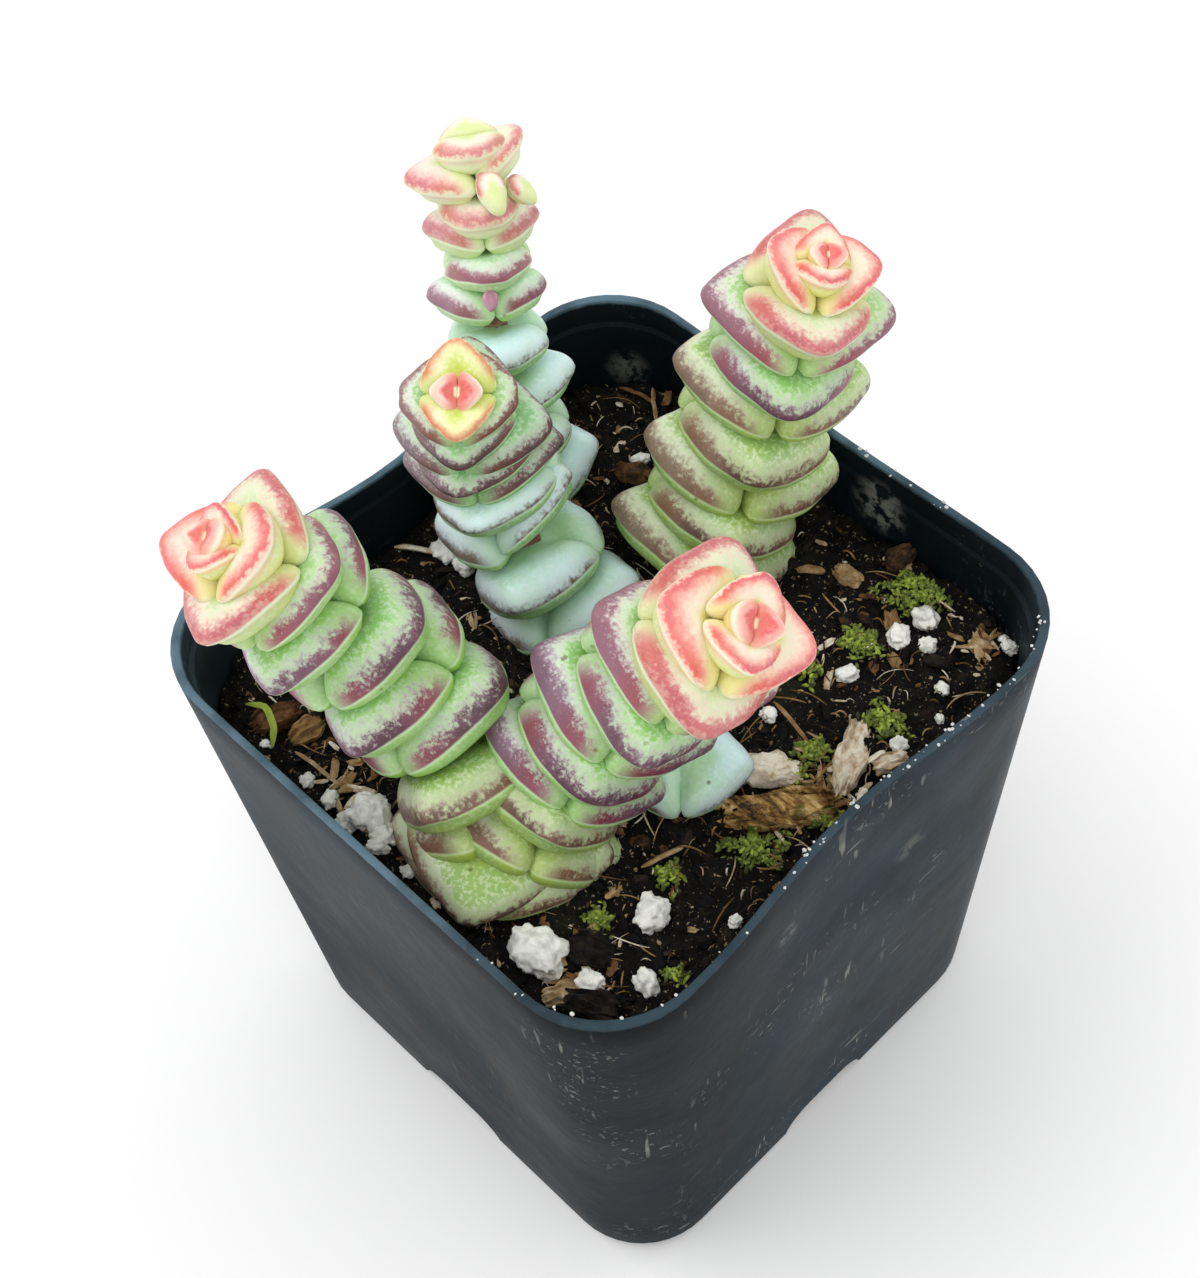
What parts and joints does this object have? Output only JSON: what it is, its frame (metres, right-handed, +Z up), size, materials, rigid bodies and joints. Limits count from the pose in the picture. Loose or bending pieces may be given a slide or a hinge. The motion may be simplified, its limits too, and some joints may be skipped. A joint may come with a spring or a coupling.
{
  "type": "potted jade necklace",
  "caption": "Potted jade necklace: stacked fleshy leaf pairs on upright stems in a small square plastic nursery pot.",
  "frame": {"origin": "middle of the pot's flat underside", "axes": "+Z up; the pot's four sides face +X, -X, +Y and -Y; the two branches of the forked stem stand at the -Y side, and the corner at +X, -Y is the one nearest the viewer"},
  "size_m": [0.0605, 0.0606, 0.0879],
  "materials": {
    "pot": "thin slate-grey plastic, satin, with pale scratches",
    "soil": "damp dark potting mix with fibres and grit",
    "stem": "thin brown woody stem",
    "leaf": "fleshy green leaf with a mauve band and a pale lip",
    "young_leaf": "coral-pink young leaf with cream edges",
    "perlite": "white expanded mineral, rough",
    "bark": "mossy bark chip"
  },
  "bodies": {
    "root": {"back_right_bud": "young_leaf", "back_right_pair_10": "leaf", "back_right_pair_2": "leaf", "back_right_pair_3": "leaf", "back_right_pair_4": "leaf", "back_right_pair_5": "leaf", "back_right_pair_6": "leaf", "back_right_pair_7": "leaf", "back_right_pair_8": "leaf", "back_right_pair_9": "leaf", "back_right_stem": "stem", "bark_chip": "bark", "fork_pair_1": "leaf", "fork_pair_2": "leaf", "fork_pair_3": "leaf", "fork_stem": "stem", "front_left_bud": "young_leaf", "front_left_pair_2": "leaf", "front_left_pair_3": "leaf", "front_left_pair_4": "leaf", "front_left_pair_5": "leaf", "front_left_pair_6": "leaf", "front_left_pair_7": "leaf", "front_left_pair_8": "leaf", "front_left_pair_9": "leaf", "front_right_bud": "young_leaf", "front_right_pair_2": "leaf", "front_right_pair_3": "leaf", "front_right_pair_4": "leaf", "front_right_pair_5": "leaf", "front_right_pair_6": "leaf", "front_right_pair_7": "leaf", "front_right_pair_8": "leaf", "front_right_pair_9": "leaf", "middle_bud": "young_leaf", "middle_pair_10": "leaf", "middle_pair_2": "leaf", "middle_pair_3": "leaf", "middle_pair_4": "leaf", "middle_pair_5": "leaf", "middle_pair_6": "leaf", "middle_pair_7": "leaf", "middle_pair_8": "leaf", "middle_pair_9": "leaf", "middle_stem": "stem", "perlite_lump": "perlite", "pot": "pot", "shoot_pair": "leaf", "soil": "soil", "tall_bud": "young_leaf", "tall_pair_1": "leaf", "tall_pair_2": "leaf", "tall_pair_3": "leaf", "tall_pair_4": "leaf", "tall_pair_5": "leaf", "tall_pair_6": "leaf", "tall_pair_7": "leaf", "tall_pair_8": "leaf", "tall_pair_9": "leaf", "tall_stem": "stem"}
  },
  "joints": []
}
